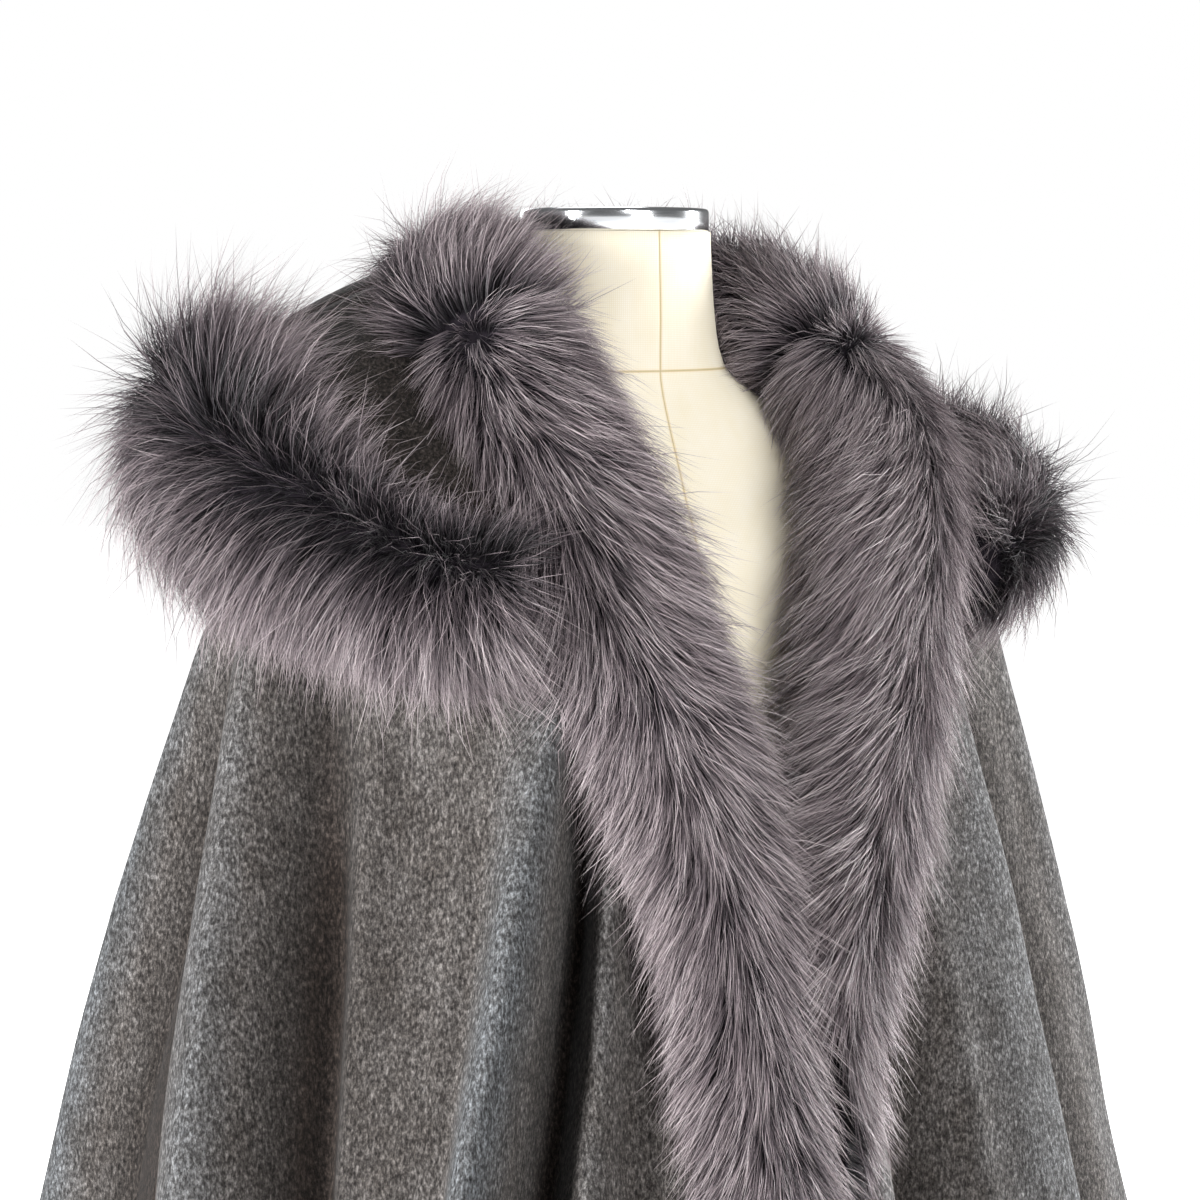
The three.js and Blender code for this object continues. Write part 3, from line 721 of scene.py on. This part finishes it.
CAPE_ROWS_FINE = 84
FRONT_FINE = 110
BACK_FINE = 66


def cape_panel(name, node_name, from_edge, to_edge, columns):
    """One cape panel between two edges, given as angles for an array of shares."""
    share = np.linspace(0, 1, CAPE_ROWS_FINE)
    across = np.linspace(0, 1, columns)[None, :]
    first = from_edge(share)[:, None]
    last = to_edge(share)[:, None]
    angle = first + (last - first) * across
    points = cape_point(angle, share[:, None] + 0 * angle)
    piece = mesh_object(name, points.reshape(-1, 3) * MM, grid_faces(CAPE_ROWS_FINE, columns))
    # Painted shade in the hollows and painted highlight on the ridges, from how far the folds push the
    # cloth out
    painted(piece, "fold", 0.5 + fold_push(angle, points[..., 2]) / FOLD_SHADE_SPREAD)
    thicken(piece, SHELL * MM)
    return finish_piece(piece, WOOL, "wool", node_name)


def seam_edge(degrees, side):
    """A seam at a fixed angle, half a seam gap to one side, for an array of shares."""
    angle = math.radians(degrees)

    def edge(share):
        at = cape_point(np.full_like(share, angle), share)
        return angle + side * SEAM_GAP / 2 / np.hypot(at[:, 0], at[:, 1])

    return edge


def front_edge(name, sign):
    """The front opening's edge on one side, for an array of shares."""
    return lambda share: sign * np.radians(smooth_at(CAPE[name], share))


right_opening = front_edge("right_edge", -1)
left_opening = front_edge("left_edge", 1)
cape_panels = [
    cape_panel("cape_right_front", "cape_front_right", seam_edge(-90, 1), right_opening, FRONT_FINE),
    cape_panel("cape_left_front", "cape_front_left", left_opening, seam_edge(90, -1), FRONT_FINE),
    cape_panel("cape_left_back", "cape_back_left", seam_edge(90, 1), seam_edge(180, -1), BACK_FINE),
    cape_panel("cape_right_back", "cape_back_right", seam_edge(180, 1), seam_edge(270, -1), BACK_FINE),
]


# The capelet's cloth gets this even low value of the wool's fold shading, a painted shade under its fur
# trim, and this share of its edge is left free on each side of a seam
CAPELET_PAINTED_SHADE = 0.04
CAPELET_SEAM = 0.0003


def capelet_panel(name, node_name, start, end):
    """One capelet panel between two shares of the capelet's edge."""
    rows = 22
    columns = 30
    down, share = np.meshgrid(np.linspace(0, 1, rows), np.linspace(start, end, columns), indexing="ij")
    points = capelet_point(share, down)
    faces = grid_faces(rows, columns)[:, ::-1]
    piece = mesh_object(name, points.reshape(-1, 3) * MM, faces)
    # Painted shade under the fur trim, even over the whole capelet
    painted(piece, "fold", np.full(points.shape[:2], CAPELET_PAINTED_SHADE))
    thicken(piece, SHELL * MM)
    return finish_piece(piece, WOOL, "wool", node_name)


capelet_seams = (SHOULDER_LEFT, 0.5, SHOULDER_RIGHT)
starts = [0, *(seam + CAPELET_SEAM for seam in capelet_seams)]
ends = [*(seam - CAPELET_SEAM for seam in capelet_seams), 1]
capelet_names = (
    ("capelet_left_front", "capelet_front_left"),
    ("capelet_left_back", "capelet_back_left"),
    ("capelet_right_back", "capelet_back_right"),
    ("capelet_right_front", "capelet_front_right"),
)
capelet_panels = [
    capelet_panel(name, node_name, start, end)
    for (name, node_name), start, end in zip(capelet_names, starts, ends)
]

# Fur


def world_tree(objects):
    """A search tree over several objects' own faces, in metres."""
    points = []
    faces = []
    for o in objects:
        start = len(points)
        points.extend(v.co.copy() for v in o.data.vertices)
        faces.extend([start + v for v in p.vertices] for p in o.data.polygons)
    return BVHTree.FromPolygons(points, faces)


under_fur = world_tree(cape_panels + [bpy.data.objects["form_cover"], bpy.data.objects["form_cap"]])


def lifted(points, clearance):
    """Points in metres, moved out to a clearance over the cloth and the form where they dip in."""
    found = points.copy()
    for i, p in enumerate(points):
        spot, normal, _, distance = under_fur.find_nearest(Vector(p), 0.05)
        if spot is None:
            continue
        height = (Vector(p) - spot).dot(normal)
        if height < clearance and distance < 0.05:
            found[i] = spot + normal * clearance
    return found


def inside(tree, points):
    """True for each point that lies in a closed solid."""
    result = np.zeros(len(points), bool)
    for i, p in enumerate(points):
        spot, normal, _, _ = tree.find_nearest(Vector(p))
        result[i] = spot is not None and (Vector(p) - spot).dot(normal) < 0
    return result


def section(path, share, turn, size):
    """Points on a fur piece's section, at a turn round it, with size 1 its outer face."""
    place, along, out, side, across, deep = fur_frame(path, share)
    swing = side * (np.cos(turn) * across * size)[:, None] + out * (np.sin(turn) * deep * size)[:, None]
    return place + swing


def outward(path, share, turn):
    """The section's outward direction at a turn round it."""
    place, along, out, side, across, deep = fur_frame(path, share)
    return unit(side * (np.cos(turn) / across)[:, None] + out * (np.sin(turn) / deep)[:, None])


UNDERCOAT_SIZE = 0.58


def undercoat(name, node_name, path, start, end):
    """The dark body of a fur piece, cut by the CAD solid so that it clears what carries it."""
    rows = 50
    columns = 22
    share = np.repeat(np.linspace(start, end, rows), columns)
    turn = np.tile(np.linspace(0, 2 * np.pi, columns, endpoint=False), rows)
    points = section(path, share, turn, UNDERCOAT_SIZE) * MM
    faces = capped_tube(rows, columns)
    piece = mesh_object(name, points, faces)
    cut = piece.modifiers.new("fit", "BOOLEAN")
    cut.operation = "INTERSECT"
    cut.solver = "EXACT"
    cut.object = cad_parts[node_name]
    fitted = bpy.data.meshes.new_from_object(piece.evaluated_get(bpy.context.evaluated_depsgraph_get()))
    piece.modifiers.clear()
    piece.data = fitted
    piece.data.shade_smooth()
    piece.data.materials.clear()
    return finish_piece(piece, UNDERCOAT, "fur")


# Roots, as least size and added size in the pelt's section. More are drawn than needed, because those
# that the cloth or the form would cover are dropped, and below the photo's edge the fur is thinned.
DRAWN_ROOTS = 3
ROOT_SIZE = (0.5, 0.07)
THINNED_BELOW = 820
THINNED_SHARE = 0.4

# How far tips of guard hair and underhair reach, as least and added size in the pelt's section, with a
# power that makes the longest few. The limits are least and added shares of the pelt's hair length.
GUARD_SIZE = (0.95, 0.5, 3)
UNDER_SIZE = (0.76, 0.2)
GUARD_LIMIT = (1.0, 0.35)
UNDER_LIMIT = (0.8, 0.25)

# Sizes in millimetres of the patches in which the hair swells, parts, turns and is swept otherwise
SWELL_PATCH = 45
PART_PATCH = 48
TURN_PATCH = 32
SWEEP_PATCH = 38

# How strands gather: many to a tuft, a few to a lock
TUFT_STRANDS = 140
LOCK_STRANDS = 6
LOOSE_PULL = 0.2

# Whorls over the shoulders, where the collar's hair sprays out like spokes
WHORLS = ((-128, -80, 1428), (126, -72, 1412))
WHORL_SIZE = 62
WHORL_SPREAD = 0.62
WHORL_LIFT = 0.5
WHORL_PULL = 0.72

# Behind the neck the hair hangs further down, up to this at a depth, in millimetres
BACK_FALL = 20
BACK_DEPTH = 90

# How near to an open end tips fan out, and how far stray hairs lie from the rest, in millimetres
FAN_DEPTH = 20
STRAY = 12
GUARD_STRAY = 14

# How much tips may pass a piece's ends and the step that measures its pace, as shares of its path
END_SPARE = 0.02
PACE_STEP = 0.004

# How much tint varies by lock, by tuft and by hair, how much paler guard hairs are, and how dark the
# underhair is
LOCK_TINT = 0.26
TUFT_TINT = 0.16
HAIR_TINT = 0.13
GUARD_TINT = 0.2
UNDER_TONE = 0.84

# Shares along a hair and how far it wavers there, in millimetres
GUARD_LINE = ((0, 0), (0.36, 1.2), (0.70, -1.6), (1.0, 0))
UNDER_LINE = ((0, 0), (0.5, 1.0), (1.0, 0))
HAIR_CLEARANCE = 0.0012


def varied(count, least, added, power=1):
    """A number for each hair, from a least one up."""
    return least + added * rng.random(count) ** power


def gathered(roots, tips, strands_per_lock, pull):
    """Tips drawn towards the middle of their lock, and a number from 0 to 1 for each one's lock."""
    chosen = rng.choice(len(roots), max(len(roots) // strands_per_lock, 1), replace=False)
    search = KDTree(len(chosen))
    for i, c in enumerate(chosen):
        search.insert(roots[c], i)
    search.balance()
    nearest = np.array([search.find(root)[1] for root in roots])
    ideal = tips[chosen[nearest]]
    return tips + (ideal - tips) * pull[:, None], rng.random(len(chosen))[nearest]


def swirl(points, size, phase):
    """A smooth wavering from -1 to 1 over the pelt, with features of a size in millimetres."""
    x, y, z = (points / size).T
    first = np.sin(x * 2.1 + y + phase)
    second = np.sin(y * 2.7 - z * 1.3 + phase * 2)
    third = np.sin(z * 2.3 + x + phase * 3)
    return (first + second + third) / 3


def rooted(node_name, path, start, end, count):
    """Where hairs root in a fur piece's solid: share of the path, turn round the section, and point."""
    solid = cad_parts[node_name].data
    tree = BVHTree.FromPolygons([v.co for v in solid.vertices], [p.vertices for p in solid.polygons])
    drawn = count * DRAWN_ROOTS
    share = start + (end - start) * rng.random(drawn)
    turn = 2 * np.pi * rng.random(drawn)
    root = section(path, share, turn, varied(drawn, *ROOT_SIZE))
    thinned = (root[:, 2] < THINNED_BELOW) & (rng.random(drawn) < THINNED_SHARE)
    kept = np.flatnonzero(inside(tree, root * MM) & ~thinned)[:count]
    return share[kept], turn[kept], root[kept]


def sprayed(root, tip, out, length):
    """Tips near a whorl, drawn away from its middle."""
    for whorl in WHORLS:
        away = root - np.array(whorl)
        near = np.exp(-((np.linalg.norm(away, axis=1) / WHORL_SIZE) ** 2))[:, None]
        spoke = unit(away - out * (away * out).sum(1)[:, None])
        reach = (length * varied(len(root), 0.55, 0.45))[:, None]
        spray = root + (spoke * WHORL_SPREAD + out * WHORL_LIFT) * reach
        tip = tip + (spray - tip) * near * WHORL_PULL
    return tip


def fur_piece(name, node_name, path, start, end, count, look):
    """Long hairs of one fur piece, combed away from its parting line."""
    share, turn, root = rooted(node_name, path, start, end, count)
    count = len(share)
    guard = rng.random(count) < look["guard"]
    size = np.where(guard, varied(count, *GUARD_SIZE), varied(count, *UNDER_SIZE))
    size = size * look["full"] * (1 + 0.05 * swirl(root, SWELL_PATCH, look["seed"]))

    # Turned away from the parting
    parting = np.radians(np.interp(share, *zip(*look["part"])))
    parting += look["wild"] * 0.15 * swirl(root, PART_PATCH, look["seed"] + 1)
    from_part = (turn - parting + np.pi) % (2 * np.pi) - np.pi
    outer, inner = look["comb"]
    size *= np.where(from_part < 0, np.interp(share, *zip(*look["upper"])), 1)
    lean = np.radians(np.where(from_part < 0, outer, inner)) * np.tanh(from_part / look["soft"])
    lean += np.radians(look["ruffle"]) * swirl(root, TURN_PATCH, look["seed"] + 2)
    tip_turn = turn + lean + look["wild"] * 0.10 * rng.normal(size=count)

    # Swept along the path by a length, which is turned into a share of it
    ahead, behind = (fur_frame(path, share + step)[0] for step in (PACE_STEP, -PACE_STEP))
    pace = np.linalg.norm(ahead - behind, axis=1) / (2 * PACE_STEP)
    sweep = look["sweep"] * varied(count, 0.8, 0.4)
    sweep += look["ruffle"] * 0.4 * swirl(root, SWEEP_PATCH, look["seed"] + 3)
    sweep += look["wild"] * 3 * rng.normal(size=count)
    tip_share = np.clip(share + sweep / pace, start - END_SPARE, end + END_SPARE)
    tip = section(path, tip_share, tip_turn, size)
    behind_neck = np.clip(root[:, 1] / BACK_DEPTH, 0, 1)
    tip[:, 2] -= (look["fall"] + BACK_FALL * behind_neck) * varied(count, 0.6, 0.8)
    for end_share, sign in look["free"]:
        near_end = np.exp(-np.abs(share - end_share) * pace / FAN_DEPTH)
        fanned = sign * look["fan"] * near_end * rng.random(count)
        tip += fur_frame(path, share)[1] * fanned[:, None]
    stray_way = unit(rng.normal(size=(count, 3)))
    stray = rng.random(count) ** 3 * (STRAY + GUARD_STRAY * guard) * look["wild"]
    tip += stray_way * stray[:, None]

    out = outward(path, share, turn)
    tip = sprayed(root, tip, out, look["length"])
    lock_pull = np.where(guard, LOOSE_PULL, look["locks"]) * varied(count, 0.6, 0.8)
    tip, tuft = gathered(root, tip, TUFT_STRANDS, np.full(count, LOOSE_PULL))
    tip, lock = gathered(root, tip, LOCK_STRANDS, lock_pull)
    way = tip - root
    far = np.linalg.norm(way, axis=1)
    limit = look["length"] * np.where(guard, varied(count, *GUARD_LIMIT), varied(count, *UNDER_LIMIT))
    tip = root + way * np.minimum(1, limit / far)[:, None]

    rise = look["rise"] * np.linalg.norm(tip - root, axis=1)
    middle = root + out * rise[:, None]
    curl = unit(rng.normal(size=(count, 3)))

    def at(t, waver):
        bent = root * (1 - t) ** 2 + middle * (2 * t * (1 - t)) + tip * t**2
        return lifted((bent + curl * waver) * MM, HAIR_CLEARANCE)

    tint = look["pale"] + LOCK_TINT * (lock - 0.5) + TUFT_TINT * (tuft - 0.5)
    tint = np.clip(tint + HAIR_TINT * rng.normal(size=count) + GUARD_TINT * guard, 0.01, 0.98)
    in_part = np.exp(-((from_part / 0.4) ** 2))
    tone = np.where(guard, 1.0, UNDER_TONE) * (1 - look["shade"] * in_part * np.where(guard, 0.4, 1))
    strands = []
    for chosen, line in ((guard, GUARD_LINE), (~guard, UNDER_LINE)):
        points = [at(t, waver)[chosen] for t, waver in line]
        shares = [t for t, _ in line]
        strands.append((points, shares, out[chosen], tint[chosen], tone[chosen], guard[chosen]))
    return add_strands(name, node_name, strands)


# Widths of a strand in millimetres, and its width in the map
GUARD_WIDTH = 0.42
UNDER_WIDTH = 0.62
STRAND_MAP = 0.008


def add_strands(name, node_name, strands):
    """Flat tapering strands, with their tint and skin-to-tip map, as one piece."""
    points, loops, sizes, maps = [], [], [], []
    first_point = 0
    for line, shares, out, tint, tone, guard in strands:
        count = len(tint)
        levels = len(shares) - 1
        width = np.where(guard, GUARD_WIDTH, UNDER_WIDTH) * varied(count, 0.7, 0.6) * MM
        facing = unit(out + 0.7 * rng.normal(size=(count, 3)))
        rails = []
        for k in range(levels):
            tangent = line[k + 1] - line[max(k - 1, 0)]
            side = unit(np.cross(tangent, facing)) * (width * (1 - 0.3 * k / levels) / 2)[:, None]
            rails += [line[k] - side, line[k] + side]
        rails.append(line[levels])
        each = 2 * levels + 1
        points.append(np.stack(rails, 1).reshape(-1, 3))
        first = first_point + np.arange(count)[:, None] * each
        quads = [first + [2 * k, 2 * k + 1, 2 * k + 3, 2 * k + 2] for k in range(levels - 1)]
        tips = first + [each - 3, each - 2, each - 1]
        loops += [np.concatenate(quads).ravel(), tips.ravel()]
        sizes += [np.full(count * (levels - 1), 4), np.full(count, 3)]
        across = np.array([0.0, 1.0] * levels + [0.5]) * STRAND_MAP
        along = np.array([shares[k // 2] for k in range(2 * levels)] + [1.0])
        maps.append(np.stack([tint[:, None] + across, along * tone[:, None]], -1).reshape(-1, 2))
        first_point += count * each
    points, loops, sizes, maps = (np.concatenate(part) for part in (points, loops, sizes, maps))
    mesh = bpy.data.meshes.new(name)
    mesh.vertices.add(len(points))
    mesh.vertices.foreach_set("co", points.astype(np.float32).ravel())
    mesh.loops.add(len(loops))
    mesh.loops.foreach_set("vertex_index", loops.astype(np.int32))
    mesh.polygons.add(len(sizes))
    mesh.polygons.foreach_set("loop_start", (np.cumsum(sizes) - sizes).astype(np.int32))
    mesh.update(calc_edges=True)
    layer = mesh.uv_layers.new(name="OFBake", do_init=False)
    layer.uv.foreach_set("vector", maps[loops].astype(np.float32).ravel())
    return finish_piece(linked(name, mesh), FUR, "fur", node_name)


# Each fur piece: where it runs, how many hairs, and how it is combed. comb turns the tips away from the
# parting line, outside and inside, in degrees, and soft is how gradually; part is where the parting
# lies, in degrees round the section, by share of the path; ruffle and wild are how unruly the hair is;
# sweep carries tips along the path and fall carries them down, in millimetres; length is the longest
# hair in millimetres, full the fur's size in its section, upper that of the outer side by share, and
# rise how far hairs stand before they bend; guard is the share of long guard hairs, and locks how far
# hairs gather; free names the open ends, and fan how far tips spread over them, in millimetres; pale is
# the mean tint, and shade darkens the parting.
GAP = 0.0005
OPEN_END = 0.002
EVEN_PART = ((0, 90), (1, 90))
NECK_PART = ((0, 84), (1, 84))
TRIM_PART = (
    (0, 70), (0.15, 60), (0.3, 75), (0.65, 75), (0.78, 45), (0.85, 34), (0.90, 30), (0.95, 34), (1, 38),
)
EVEN_REACH = ((0, 1), (1, 1))
NEAR_REACH = ((0.70, 1.1), (0.8, 1.2), (0.85, 1.0), (0.9, 0.78), (0.95, 0.7), (1, 0.7))
FLAT = {
    "comb": (34, 28), "soft": 0.8, "part": EVEN_PART, "ruffle": 10, "wild": 0.9, "fall": 8,
    "length": 56, "full": 1.02, "upper": EVEN_REACH, "rise": 0.34, "guard": 0.32, "locks": 0.28,
    "fan": 40, "pale": 0.45, "shade": 0.1,
}
FULL = {
    "comb": (24, 26), "soft": 0.3, "part": TRIM_PART, "ruffle": 22, "wild": 1.7, "sweep": 0, "fall": 3,
    "length": 74, "full": 1.12, "upper": EVEN_REACH, "rise": 0.42, "guard": 0.36, "locks": 0.38,
    "free": (), "fan": 40, "pale": 0.38, "shade": 0.68,
}
PIECES = [
    (
        "fur_right_front", "fur_band_right", EDGE, OPEN_END, COLLAR_FROM - GAP, 45000,
        {**FLAT, "sweep": -26, "free": ((0, -1),)},
    ),
    (
        "fur_left_front", "fur_band_left", EDGE, COLLAR_TO + GAP, 1 - OPEN_END, 41000,
        {**FLAT, "comb": (40, 26), "full": 1.14, "sweep": 26, "free": ((1, 1),)},
    ),
    (
        "fur_neck", "fur_collar", EDGE, COLLAR_FROM + GAP, COLLAR_TO - GAP, 38000,
        {**FULL, "part": NECK_PART, "fall": -4, "shade": 0.2, "pale": 0.44},
    ),
    (
        "fur_capelet_right", "fur_trim_right", CAPELET, TRIM_RIGHT_FROM + GAP, 1 - OPEN_END, 41000,
        {**FULL, "full": 1.24, "free": ((0.998, 1),), "fan": 70, "upper": NEAR_REACH},
    ),
    (
        "fur_capelet_left", "fur_trim_left", CAPELET, OPEN_END, TRIM_LEFT_TO - GAP, 28000,
        {**FULL, "free": ((0.02, -1),)},
    ),
    (
        "fur_capelet_back", "fur_trim_back", CAPELET, TRIM_LEFT_TO + GAP, TRIM_RIGHT_FROM - GAP, 21000,
        FULL,
    ),
]
for index, (name, node_name, path, start, end, count, look) in enumerate(PIECES):
    undercoat(name + "_undercoat", node_name, path, start, end)
    fur_piece(name, node_name, path, start, end, count, {**look, "seed": index * 1.7})

# Studio

FLOOR_RADIUS = 12
FLOOR_CORNERS = 64
FLOOR_LEVEL = -0.0005

turn = np.linspace(0, 2 * np.pi, FLOOR_CORNERS, endpoint=False)
across, deep = np.sin(turn) * FLOOR_RADIUS, -np.cos(turn) * FLOOR_RADIUS
floor_points = np.stack([across, deep, np.full(FLOOR_CORNERS, FLOOR_LEVEL)], -1)
floor = mesh_object("studio_floor", floor_points, [tuple(range(FLOOR_CORNERS))])
floor.data.materials.append(PAPER)
floor.visible_diffuse = False


def lamp(name, light, place, aim):
    """Places a lamp and turns it to what it lights."""
    made = bpy.data.objects.new(name, light)
    made.location = place
    made.rotation_euler = (Vector(aim) - Vector(place)).to_track_quat("-Z", "Y").to_euler()
    bpy.context.scene.collection.objects.link(made)


def soft_light(name, place, aim, width, height, power):
    """A soft box, with its size in metres and its power in watts."""
    light = bpy.data.lights.new(name, "AREA")
    light.shape = "RECTANGLE"
    light.size = width
    light.size_y = height
    light.energy = power
    lamp(name, light, place, aim)


def snoot(name, place, aim, spread, power):
    """A lamp with a narrow soft beam, in degrees across."""
    light = bpy.data.lights.new(name, "SPOT")
    light.spot_size = math.radians(spread)
    light.spot_blend = 1.0
    light.shadow_soft_size = 0.3
    light.energy = power
    lamp(name, light, place, aim)


soft_light("front", (0.3, -3.0, 1.5), (0, 0, 1.1), 1.0, 1.4, 40)
soft_light("side_left", (-2.9, -0.6, 1.1), (0, 0, 0.95), 0.5, 1.8, 155)
soft_light("side_right", (2.8, -0.4, 1.2), (0, 0, 1.0), 0.5, 1.8, 165)
soft_light("top", (0.3, 1.0, 3.4), (0, 0, 1.15), 1.2, 1.2, 20)
soft_light("back", (0.4, 3.2, 2.0), (0, 0, 1.1), 1.2, 1.6, 45)
snoot("neck_light", (-0.3, -2.5, 2.0), (0.02, -0.08, 1.40), 17, 150)
snoot("band_light", (0.6, -2.6, 0.9), (0.04, -0.2, 1.0), 16, 110)

# The studio behind reads white; the light that it gives is dimmer
LIGHT_GIVEN = 0.16
world = bpy.data.worlds.new("studio")
world.use_nodes = True
background = world.node_tree.nodes["Background"]
background.inputs["Color"].default_value = linear("#ffffff")
seen = node(world.node_tree, "ShaderNodeLightPath").outputs["Is Camera Ray"]
strengths = {"To Min": LIGHT_GIVEN, "To Max": 1.0}
strength = node(world.node_tree, "ShaderNodeMapRange", strengths, {"Value": seen})
world.node_tree.links.new(strength.outputs["Result"], background.inputs["Strength"])
bpy.context.scene.world = world
bpy.context.scene.view_settings.view_transform = "Standard"

# Camera: the photo's viewing angle, eye level and framing

AZIMUTH = math.radians(-27)
PITCH = math.radians(-8.3)
DISTANCE = 1.400
EYE_HEIGHT = 1.461
SIDE_STEP = -0.009
FOCAL_SHARE = 2240 / 1200

right_way = Vector((math.cos(AZIMUTH), math.sin(AZIMUTH), 0))
level = Vector((-math.sin(AZIMUTH), math.cos(AZIMUTH), 0))
forward = level * math.cos(PITCH) + Vector((0, 0, math.sin(PITCH)))
up = right_way.cross(forward)
camera_data = bpy.data.cameras.new("camera")
camera_data.sensor_width = 36
camera_data.lens = 36 * FOCAL_SHARE
camera = bpy.data.objects.new("camera", camera_data)
place = -level * DISTANCE + right_way * SIDE_STEP + Vector((0, 0, EYE_HEIGHT))
camera.matrix_world = Matrix.Translation(place) @ Matrix((right_way, up, -forward)).transposed().to_4x4()
bpy.context.scene.collection.objects.link(camera)
bpy.context.scene.camera = camera

bpy.context.view_layer.update()
